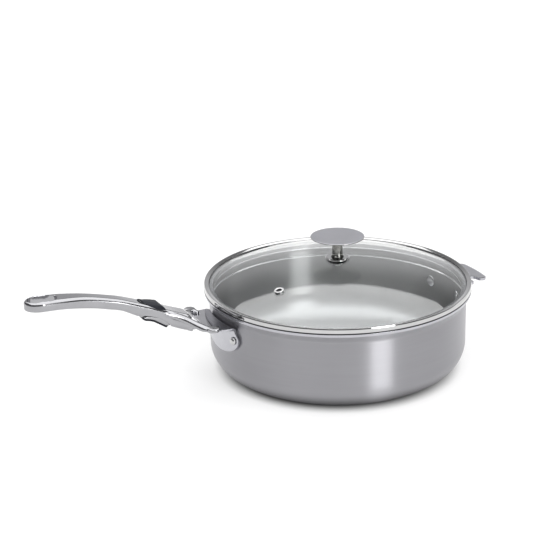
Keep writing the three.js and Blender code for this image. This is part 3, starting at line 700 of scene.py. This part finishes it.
def bracket(name, end, notch, yaw):
    """A sheet cut flat, then bent: its foot follows the wall and its tab stands out level."""
    half = bracket_outline(end, notch)
    outline = half + [(-a, t) for a, t in half[-2:0:-1]]
    flat = [(SHEET_MIDDLE * a, t) for a, t in outline]
    lows = [min(p[i] for p in flat) for i in (0, 1)]
    highs = [max(p[i] for p in flat) for i in (0, 1)]
    spots = [Vector(p) for p in flat]
    edge_gap = 0.894
    for i in range(int((highs[0] - lows[0]) / SHEET_MESH)):
        for j in range(int((highs[1] - lows[1]) / SHEET_MESH)):
            spot = (lows[0] + (i + 0.5) * SHEET_MESH, lows[1] + (j + 0.5) * SHEET_MESH)
            if inside(spot, flat) and min(math.dist(spot, p) for p in flat) > edge_gap:
                spots.append(Vector(spot))
    ring = list(range(len(flat)))
    edges = list(zip(ring, ring[1:] + ring[:1]))
    spots, _, faces, _, _, _ = delaunay_2d_cdt(spots, edges, [], 1, 1e-5)
    verts = []
    for across, t in spots:
        turn = across / SHEET_MIDDLE + yaw
        theta = min(max(t / SHEET_BEND, 0), math.pi / 2)
        radius = SHEET_MIDDLE + SHEET_BEND * (1 - math.cos(theta)) + max(t - BEND_RUN, 0)
        height = BEND_FOOT + SHEET_BEND * math.sin(theta) + min(t, 0)
        verts.append((radius * math.cos(turn), radius * math.sin(turn), height))
    obj = mesh_object(name, verts, faces)
    modifier(obj, "SOLIDIFY", thickness=PLATE * MM, offset=0)
    return softened(obj, SHEET_EDGE)


def rivet(name, turn, node):
    """A rivet through the wall and the sheet, turned to its place round the pan."""
    inner_seat = PAN_RADIUS - PAN_WALL - 0.44
    outer_seat = FLANGE_INNER + PLATE + RIVET_PLAY
    path = fillet([
        (0, inner_seat - 1.6, 0),
        (3.6, inner_seat - 1.5, 2),
        (RIVET_INNER_HEAD, inner_seat - 0.5, 0.8),
        (RIVET_INNER_HEAD, inner_seat, 0.2),
        (RIVET_SHANK, inner_seat, 0),
        (RIVET_SHANK, outer_seat, 0),
        (RIVET_OUTER_HEAD, outer_seat, 0.2),
        (RIVET_OUTER_HEAD, outer_seat + 0.9, 1.1),
        (2, outer_seat + 2.3, 1.6),
        (0, outer_seat + 2.4, 0),
    ])
    obj = lathe(name, path, steps=40)
    place = Matrix.Translation((0, 0, RIVET_HEIGHT * MM)) @ Matrix.Rotation(turn, 4, "Z")
    placed(obj, place @ Matrix.Rotation(math.pi / 2, 4, "Y"))
    dress(obj, rim_steel, "pan", node)
    # Painted highlight: the heads inside the pan take the lighter steel.
    painted(obj, lambda face: painted_highlight_steel if face.center.xy.length < PAN_RADIUS * MM else rim_steel)


# Lid

def band():
    inner = BAND_RADIUS - 4.4
    path = fillet([
        (BAND_RADIUS, 0, 0.3),
        (BAND_RADIUS, BAND_HEIGHT - 1.1, 0.3),
        (BAND_RADIUS - 0.45, BAND_HEIGHT + 0.15, 0.3),
        (BAND_RADIUS - 1.6, BAND_HEIGHT - 0.05, 0.8),
        (inner, GLASS_SEAT + 0.3, 0.1),
        (inner, GLASS_SEAT + 0.1, 0),
        (BAND_RADIUS - 0.6, GLASS_SEAT + 0.1, 0),
        (BAND_RADIUS - 0.6, 0.5, 0),
        (SKIRT_INNER, 0.5, 0.4),
        (SKIRT_INNER, SKIRT_FOOT + 1.1, 0.6),
        (SKIRT_LIP, SKIRT_FOOT + 0.7, 0.4),
        (SKIRT_LIP, SKIRT_FOOT, 0.35),
        (SKIRT_OUTER, SKIRT_FOOT, 0.5),
        (SKIRT_OUTER, 0, 0.6),
    ], closed=True)
    obj = lift(lathe("rolled_band", path, steps=256), LID_FOOT)
    dress(obj, rim_steel, "lid", "lid_band")
    painted(obj, band_finish)


def band_finish(face):
    """Polished, with a satin skirt; black on its underside where it meets the pan as painted shadow, darker
    steel on the seat under the glass as painted shade, and lighter steel on the skirt's foot as a painted
    highlight.
    """
    radius = face.center.xy.length / MM
    height = face.center.z / MM - LID_FOOT
    above_lip = height > SKIRT_FOOT + 1.2
    if radius < SKIRT_INNER + 0.2 and above_lip:
        return inner_steel
    # Painted shadow: the underside that sits on the lip is black.
    if radius > SKIRT_OUTER + 0.8 and face.normal.z < -0.3:
        return silicone
    # Painted highlight: the skirt's foot takes the lighter steel.
    if not above_lip:
        return painted_highlight_steel
    # Painted shade: the seat under the glass's edge takes the darker cast steel.
    if face.normal.z > 0.8 and height < 1:
        return cast_steel
    return rim_steel


def dome_height(radius):
    return APEX - DOME_SPHERE + math.sqrt(DOME_SPHERE ** 2 - radius ** 2)


def dome():
    top = fillet([(GLASS_EDGE, GLASS_SEAT, 0), (DOME_FOOT + 4.3, GLASS_SEAT, 3),
                  (DOME_EDGE, dome_height(DOME_EDGE), 0)])
    count = 36
    for k in range(1, count + 1):
        radius = DOME_EDGE + (KNOB_HOLE - DOME_EDGE) * k / count
        top.append((radius, dome_height(radius)))
    under = [(radius, height - GLASS_THICK) for radius, height in reversed(top)]
    obj = lift(lathe("glass_dome", top + under, steps=256), LID_FOOT)
    dress(obj, glass, "lid", "lid_glass")


def eyelet():
    low = -GLASS_THICK - 0.3
    path = fillet([
        (VENT_BORE, low - 0.9, 0.4),
        (VENT_UNDERSIDE, low - 0.9, 0.4),
        (VENT_UNDERSIDE, low, 0.1),
        (VENT_SHANK, low, 0),
        (VENT_SHANK, 0.3, 0),
        (VENT_RIM, 0.3, 0.1),
        (VENT_RIM, 1.3, 0.5),
        (VENT_BORE, 1.3, 0.8),
    ], closed=True)
    obj = lathe("vent_ring", path, steps=48)
    dress(obj, rim_steel, "lid", "vent_eyelet")
    # Painted shade: the bore's faces are black.
    painted(obj, lambda face: silicone if face.center.xy.length < (VENT_BORE + 0.1) * MM else rim_steel)
    spot = Vector((VENT_RADIUS, 0, LID_FOOT + dome_height(VENT_RADIUS))) * MM
    tilt = Matrix.Rotation(math.asin(VENT_RADIUS / DOME_SPHERE), 4, "Y")
    placed(obj, Matrix.Rotation(VENT_ANGLE, 4, "Z") @ Matrix.Translation(spot) @ tilt)


def knob_piece(name, corners, material, node, closed=False):
    obj = lift(lathe(name, fillet(corners, closed), steps=96), LID_FOOT)
    return dress(obj, material, "lid", node)


def knob():
    flange = APEX + 0.4
    stem = flange + 2
    top = APEX + KNOB_RISE
    disc = top - 0.5
    cap = knob_piece("knob_top", [
        (0, disc + 0.8, 0), (5.3, disc + 0.8, 0), (5.3, disc, 0.2), (13.7, disc, 6),
        (KNOB_RADIUS, disc + 1.5, 0.4), (KNOB_RADIUS, disc + 2.4, 0.7), (0, disc + 2.4, 0),
    ], disc_steel, "knob_disc")
    painted(cap, lambda face: stem_steel if face.normal.z < 0.7 else disc_steel)
    socket = stem + SCREW_REACH + 0.3
    knob_piece("knob_neck", [
        (0, socket, 0), (KNOB_HOLE, socket, 0), (KNOB_HOLE, stem, 0), (6.3, stem, 0.3),
        (5, stem + 2, 3), (4.7, top - 4, 6), (5, top, 0.2), (0, top, 0),
    ], stem_steel, "knob_stem")
    knob_piece("knob_foot", [
        (KNOB_HOLE, flange + 0.8, 0), (7, flange + 0.8, 0), (7, flange, 0.2),
        (FLANGE_RADIUS, flange, 0.3), (FLANGE_RADIUS, flange + 0.8, 0.5),
        (FLANGE_RADIUS - 0.9, flange + 1.7, 0.6), (KNOB_HOLE, flange + 1.7, 0),
    ], rim_steel, "knob_flange", closed=True)
    knob_piece("knob_seal", [
        (KNOB_HOLE, APEX + 0.3, 0), (UPPER_SEAL_RADIUS, APEX + 0.3, 0.3), (UPPER_SEAL_RADIUS, APEX + 1, 0.3),
        (KNOB_HOLE, APEX + 1, 0),
    ], silicone, "knob_upper_gasket", closed=True)
    lower = dome_height(LOWER_SEAL_RADIUS) - GLASS_THICK - 0.3
    knob_piece("knob_inner_seal", [
        (KNOB_HOLE, lower - 1, 0), (LOWER_SEAL_RADIUS, lower - 1, 0.3), (LOWER_SEAL_RADIUS, lower, 0.3),
        (KNOB_HOLE, lower, 0),
    ], silicone, "knob_lower_gasket", closed=True)
    washer = lower - 1.3
    knob_piece("knob_plate", [
        (KNOB_HOLE, washer - 1.2, 0), (WASHER_RADIUS, washer - 1.2, 0.3), (WASHER_RADIUS, washer, 0.3),
        (KNOB_HOLE, washer, 0),
    ], rim_steel, "knob_washer", closed=True)
    seat = washer - 1.5
    knob_piece("knob_bolt", [
        (0, seat - 2.6, 0), (2.7, seat - 2.6, 0.6), (4.5, seat - 1, 0.5), (4.5, seat, 0.2),
        (2.5, seat, 0), (2.5, stem + SCREW_REACH, 0.4), (0, stem + SCREW_REACH, 0),
    ], rim_steel, "knob_screw")


# Handle

def rounded_box(half, top, bottom, top_corner, bottom_corner, steps):
    """A section with round corners, from its right flank over the top."""
    quarter = math.pi / 2
    corners = ((half, top, -1, -1, top_corner), (-half, top, 1, -1, top_corner),
               (-half, bottom, 1, 1, bottom_corner), (half, bottom, -1, 1, bottom_corner))
    points = []
    for k, (w, v, right, up, radius) in enumerate(corners):
        points += arc(w + right * radius, v + up * radius, radius, k * quarter, (k + 1) * quarter, steps)
    return points


def grip():
    """The handle's long cast body, lofted from its front to its round end."""
    stations = []
    count = 110
    for k in range(count + 1):
        u = HANDLE_FRONT + (HANDLE_SHOULDER - HANDLE_FRONT) * k / count
        stations.append((u, handle_half(u), handle_top(u), handle_bottom(u)))
    end_half = handle_half(HANDLE_SHOULDER)
    middle = (handle_top(HANDLE_SHOULDER) + handle_bottom(HANDLE_SHOULDER)) / 2
    end_tall = (handle_top(HANDLE_SHOULDER) - handle_bottom(HANDLE_SHOULDER)) / 2
    end_count = 24
    for k in range(1, end_count + 1):
        angle = k / (end_count + 1) * math.pi / 2
        tall = end_tall * math.cos(angle) ** END_BLUNT
        u = HANDLE_SHOULDER + (HANDLE_END - HANDLE_SHOULDER) * math.sin(angle)
        stations.append((u, end_half * math.cos(angle), middle + tall, middle - tall))
    verts = []
    for u, half, top, bottom in stations:
        corner = min(SECTION_CORNER, 0.48 * (top - bottom), 0.8 * half)
        section = rounded_box(half, top, bottom, corner, corner, 18)
        verts += [handle_side(u, v, w) for w, v in section]
    return mesh_object("handle", verts, tube_faces(len(verts), len(stations)))


def swept_arm(side):
    """One round-topped arm of the fork, swept from the grip's flank out to its lobe."""
    last = len(ARM_LINE) - 1
    lines = [smooth_line([(i, spot[axis]) for i, spot in enumerate(ARM_LINE)]) for axis in range(3)]
    count = 60
    spots = [Vector([line(last * k / count) for line in lines]) for k in range(count + 1)]
    verts = []
    for k, (u, w, top) in enumerate(spots):
        ahead = (spots[min(k + 1, count)] - spots[max(k - 1, 0)]).xy.normalized()
        depth = min(ARM_DEPTH, top - FORK_FOOT)
        crown = min(0.95 * ARM_HALF, 0.75 * depth)
        section = rounded_box(ARM_HALF, top, top - depth, crown, 0.2 * depth, 14)
        verts += [handle_side(u + ahead.y * out, v, side * (w - ahead.x * out)) for out, v in section]
    return mesh_object("arm", verts, tube_faces(len(verts), len(spots)))


def tube_faces(points, rings):
    """Faces of a closed tube made of equal rings of points."""
    around = points // rings
    faces = [list(range(around)), list(range(points - around, points))[::-1]]
    for start in range(0, points - around, around):
        for j in range(around):
            after = start + (j + 1) % around
            faces.append([start + j, after, after + around, start + j + around])
    return faces


def circle(u, w, radius, steps):
    return arc(u, w, radius, 0, 2 * math.pi * (steps - 1) / steps, steps - 1)


def fork():
    """The forked front: a plate with two lobes, their hook posts and the two arms."""
    front_half = handle_half(HANDLE_FRONT)
    half = [
        (13, front_half), (HANDLE_FRONT, front_half), (4.5, front_half + 2), (1.8, 0.6 * LOBE_W),
        (0.9, LOBE_W - 3.5), (LOBE_U + 4.7, LOBE_W + 3), (LOBE_U, LOBE_W), (LOBE_U - 3.6, LOBE_W - 4.2),
        (-4.8, 19.5), (-3.3, 12), (-3, 6),
    ]
    outline = half + [(u, -w) for u, w in reversed(half)]
    profile = [
        (12, handle_top(12) - 0.3), (5.5, handle_top(5.5) - 1), (0.5, FORK_TOP + 1.3), (-2.5, FORK_TOP),
        (LOBE_U - 6.6, FORK_TOP), (LOBE_U - 6.6, FORK_FOOT), (6.6, FORK_FOOT),
        (6.6, handle_bottom(HANDLE_FRONT) - 0.5), (12, handle_bottom(12) + 0.3),
    ]
    body = prism("fork", outline, -6, 16, handle_plan)
    cut(body, prism("profile", profile, -40, 40, handle_side), operation="INTERSECT")
    rounds = []
    for side in (-1, 1):
        lobe = circle(LOBE_U, side * LOBE_W, LOBE_RADIUS, 36)
        rounds.append(prism("lobe", lobe, FORK_FOOT, FORK_TOP, handle_plan))
        post = circle(POST_U, side * POST_W, POST_RADIUS, 24)
        rounds.append(prism("post", post, POST_FOOT, FORK_TOP - 1.1, handle_plan))
        rounds.append(swept_arm(side))
    return melted(joined(body, *rounds), voxel_mm=0.5, rounds=24)


def hang_slot():
    straight = SLOT_LENGTH / 2 - SLOT_HALF
    outline = (arc(SLOT_MIDDLE - straight, 0, SLOT_HALF, math.pi / 2, 1.5 * math.pi, 60)
               + arc(SLOT_MIDDLE + straight, 0, SLOT_HALF, -math.pi / 2, math.pi / 2, 60))
    return prism("slot", outline, 30, 60, handle_plan)


def handle():
    """The casting: grip and fork fused, hollowed below for the latch, with a bridge over the hollow."""
    body = joined(grip(), fork())
    roof = [(u, hollow_roof(u)) for u in (HANDLE_FRONT, 20, 34, 46, HOLLOW_END)]
    below = handle_bottom(HANDLE_FRONT) - 6
    hollow = [(5, roof[0][1] - 2.4), *roof, (HOLLOW_END, handle_bottom(HOLLOW_END) - 3)]
    hollow += [(HANDLE_FRONT, below), (5, below)]
    arch_end = WALL_ARCH[0][0]
    arch_front = WALL_ARCH[-1][0]
    arch = [(arch_end, handle_bottom(arch_end) - 3)]
    arch += [(u, handle_bottom(u) + rise) for u, rise in WALL_ARCH]
    arch.append((arch_front, handle_bottom(arch_front) - 4))
    melted(body, voxel_mm=0.5, rounds=2)
    cut(body, prism("hollow", hollow, -HOLLOW_HALF, HOLLOW_HALF, handle_side),
        prism("arch", arch, -14, 14, handle_side), hang_slot())
    bridge = [(u, handle_bottom(u)) for u in BRIDGE]
    bridge += [(u, v + BRIDGE_THICK) for u, v in reversed(bridge)]
    bridge_half = HOLLOW_HALF + 0.5
    joined(body, prism("bridge", bridge, -bridge_half, bridge_half, handle_side))
    melted(body, voxel_mm=0.42, rounds=12)
    snapped(body, grip(), hang_slot(), swept_arm(-1), swept_arm(1))
    dress(body, cast_steel, "handle", "handle_body")


def trigger():
    """The rocker under the handle, with a black pad along its belly."""
    bridge_front, bridge_end = BRIDGE
    outline = [(11.6, 0.9), (11.6, 7.8)]
    outline += [(u, hollow_roof(u) - gap) for u, gap in ((14.6, 0.6), (26, 2.6), (31, 5.2), (44, 6))]
    outline += [(47.5, 17.4), (50.6, 16.8)]
    outline += [(u, v + 0.5) for u, v in TRIGGER_BELLY]
    outline += [
        (28.4, handle_bottom(28.4) - 0.6), (26.4, handle_bottom(26.2) + 0.6),
        (25.6, handle_bottom(bridge_end) + 5.2), (18.4, handle_bottom(bridge_front) + 5.3),
        (14.5, handle_bottom(bridge_front) + 4.5),
    ]
    obj = softened(prism("trigger_rocker", outline, -TRIGGER_HALF, TRIGGER_HALF, handle_side), 0.4)
    rocker_faces = len(obj.data.polygons)
    pad = TRIGGER_BELLY + [(u - 0.4, v + 1.9) for u, v in reversed(TRIGGER_BELLY)]
    joined(obj, softened(prism("pad", pad, -PAD_HALF, PAD_HALF, handle_side), 0.5))
    dress(obj, cast_steel, "trigger", "trigger")
    painted(obj, lambda face: cast_steel if face.index < rocker_faces else charcoal)


def button():
    """The wedge on the handle's top, with a thin black sheet in front of it as a painted shadow gap round
    it, and its shank.
    """
    def over_top(u, w, rise):
        return handle_side(u, handle_top(u) + rise, w)

    crest = smooth_line(BUTTON_CREST)
    width = smooth_line(BUTTON_WIDTH)
    front = BUTTON_CREST[0][0]
    end = BUTTON_CREST[-1][0]
    verts = []
    count = 24
    for k in range(count + 1):
        u = front + (end - front) * k / count
        half = width(u)
        high = crest(u)
        past = max(0, half - handle_half(u) + SECTION_CORNER)
        foot = math.sqrt(SECTION_CORNER ** 2 - past ** 2) - SECTION_CORNER + 0.1
        section = [
            (half, foot), (half - 2.4, 0.25), (2.4 - half, 0.25), (-half, foot), (0.6 - half, high - 0.4),
            (1.6 - half, high), (half - 1.6, high), (half - 0.6, high - 0.4),
        ]
        verts += [over_top(u, w, rise) for w, rise in section]
    wedge = softened(mesh_object("button_wedge", verts, tube_faces(len(verts), count + 1)), 0.3)
    # Painted shadow: a thin black sheet stands for the gap round the button.
    painted_gap = BUTTON_PAINTED_GAP + [(u, -w) for u, w in reversed(BUTTON_PAINTED_GAP)]
    painted_gap += [(u - 1.1, 0.86 * w) for u, w in reversed(painted_gap)]
    shank = [(u, handle_top(u) - 6.5) for u in BUTTON_SHANK]
    shank += [(u, handle_top(u) + 0.8) for u in reversed(BUTTON_SHANK)]
    joined(wedge, prism("painted_gap", painted_gap, 0.1, 0.55, over_top),
           prism("shank", shank, -SHANK_HALF, SHANK_HALF, handle_side))
    dress(wedge, charcoal, "button", "release_button")


def spring(name, node):
    """A copy of a CAD spring, with its edges eased."""
    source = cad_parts[node]
    obj = bpy.data.objects.new(name, source.data.copy())
    bpy.context.collection.objects.link(obj)
    obj.data.transform(source.matrix_world)
    softened(obj, width_mm=0.1, segments=2)
    obj.data.materials.clear()
    obj.data.materials.append(spring_steel)
    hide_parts(node)
    return obj


def springs():
    """The leaf stays where it is, and the button's strip rides with the handle on a mesh of its own."""
    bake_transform(spring("latch_spring", "latch_leaf"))
    strip = spring("button_strip", "button_spring")
    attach(strip, "handle")
    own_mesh(strip)


# Stage

def camera():
    data = bpy.data.cameras.new("camera")
    data.sensor_width = 36
    data.lens = CAMERA_LENS_MM
    obj = bpy.data.objects.new("camera", data)
    bpy.context.collection.objects.link(obj)
    turn = Vector(CAMERA_AIM).to_track_quat("-Z", "Y").to_matrix().to_4x4()
    obj.matrix_world = Matrix.Translation(CAMERA_PLACE) @ turn @ Matrix.Rotation(CAMERA_ROLL, 4, "Z")
    bpy.context.scene.camera = obj


def softbox(name, place, aim, width, height, radiance):
    """An even light panel. Its place is given in the studio's frame: camera in front, at low Y."""
    data = bpy.data.lights.new(name, "AREA")
    data.shape = "RECTANGLE"
    data.size = width
    data.size_y = height
    data.energy = radiance * math.pi * width * height
    obj = bpy.data.objects.new(name, data)
    bpy.context.collection.objects.link(obj)
    turn = (Vector(aim) - Vector(place)).to_track_quat("-Z", "Y").to_matrix().to_4x4()
    obj.matrix_world = Matrix.Rotation(STUDIO_TURN, 4, "Z") @ Matrix.Translation(place) @ turn


def floor():
    """A pale sheet of paper that glows from just outside the pan's foot, and more from far out; the missing
    glow under and next to the pan is a painted contact shadow.
    """
    corners = ((-1, -1), (1, -1), (1, 1), (-1, 1))
    verts = [Vector((x * FLOOR_HALF, y * FLOOR_HALF, -FLOOR_DROP)) / MM for x, y in corners]
    sheet = mesh_object("floor", verts, [[0, 1, 2, 3]])
    paper = Shader("paper", (0.4, 0.4, 0.4), 0, 0.9)
    paper.surface.inputs["Emission Color"].default_value = (1, 1, 1, 1)
    cloud = paper.noise(paper.place(), scale=3, detail=2)
    paper.tinted(cloud, (0.39, 0.39, 0.39), (0.41, 0.41, 0.41))
    away = paper.add("ShaderNodeVectorMath", operation="LENGTH")
    paper.links.new(paper.place(), away.inputs[0])
    # Painted shadow: no glow under the pan, rising just past its foot.
    glow_round_painted_shadow = paper.ramp(away.outputs["Value"], start=0.098, stop=0.12, low=0, high=0.6)
    far_glow = paper.ramp(away.outputs["Value"], start=1, stop=2.2, low=0, high=0.5)
    paper.links.new(paper.math("ADD", glow_round_painted_shadow, far_glow), paper.surface.inputs["Emission Strength"])
    sheet.data.materials.append(paper.material)


def surround():
    """A grey room whose level follows the height, darker in front of the pan than behind it."""
    world = bpy.data.worlds.new("studio")
    bpy.context.scene.world = world
    world.use_nodes = True
    nodes = world.node_tree.nodes
    links = world.node_tree.links
    way = nodes.new("ShaderNodeTexCoord").outputs["Generated"]
    split = nodes.new("ShaderNodeSeparateXYZ")
    links.new(way, split.inputs[0])
    mix = nodes.new("ShaderNodeMix")
    mix.data_type = "RGBA"
    front_color, back_color = mix.inputs[6:8]
    # Grey levels by the height of the view's direction
    front = ((0, 0.5), (0.12, 0.2), (0.3, 0.14), (0.6, 0.12), (1, 0.2))
    back = ((0, 0.85), (0.12, 0.75), (0.25, 0.62), (0.36, 0.58), (0.52, 0.25), (1, 0.2))
    for stops, socket in ((front, front_color), (back, back_color)):
        ramp = nodes.new("ShaderNodeValToRGB")
        while len(ramp.color_ramp.elements) < len(stops):
            ramp.color_ramp.elements.new(0.5)
        for element, (position, level) in zip(ramp.color_ramp.elements, stops):
            element.position = position
            element.color = (level, level, 1.02 * level, 1)
        links.new(split.outputs[2], ramp.inputs[0])
        links.new(ramp.outputs[0], socket)
    behind = nodes.new("ShaderNodeVectorMath")
    behind.operation = "DOT_PRODUCT"
    behind.inputs[1].default_value = Matrix.Rotation(STUDIO_TURN, 3, "Z") @ Vector((0, 1, 0))
    links.new(way, behind.inputs[0])
    share = nodes.new("ShaderNodeMapRange")
    share.inputs["From Min"].default_value = 0.2
    share.inputs["From Max"].default_value = 0.75
    links.new(behind.outputs["Value"], share.inputs["Value"])
    links.new(share.outputs[0], mix.inputs[0])
    links.new(mix.outputs[2], nodes["Background"].inputs["Color"])


def studio():
    floor()
    surround()
    softbox("overhead", place=(0, 0.06, 1.3), aim=(0, 0.06, 0), width=2.6, height=2.72, radiance=2)
    softbox("strip", place=(0.84, -1.22, 0.62), aim=(0, 0, 0.05), width=0.5, height=1.1, radiance=6.4)
    bpy.context.scene.view_settings.view_transform = "Standard"


camera()
pan()
for place, end, notch, yaw in (("handle_bracket", TAB_END, TAB_NOTCH, math.pi),
                               ("side_grip", GRIP_END, GRIP_NOTCH, -GRIP_YAW)):
    sheet = dress(bracket(place + "_sheet", end, notch, yaw), tab_steel, "pan", place)
    # Painted highlight: the flat tops take the lighter steel.
    painted(sheet, lambda face: tab_top_painted_highlight_steel if face.normal.z > 0.9 else tab_steel)
for side, yaw in (("grip", -GRIP_YAW), ("handle", math.pi)):
    first, second = ("front", "rear") if side == "grip" else ("rear", "front")
    rivet(f"{side}_stud_{first}", yaw - RIVET_ANGLE, f"{side}_rivet_{first}")
    rivet(f"{side}_stud_{second}", yaw + RIVET_ANGLE, f"{side}_rivet_{second}")
band()
dome()
eyelet()
knob()
handle()
trigger()
button()
springs()
for node in ("button_clip", "trigger_pin"):
    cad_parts[node].data.materials.clear()
    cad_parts[node].data.materials.append(spring_steel)
studio()
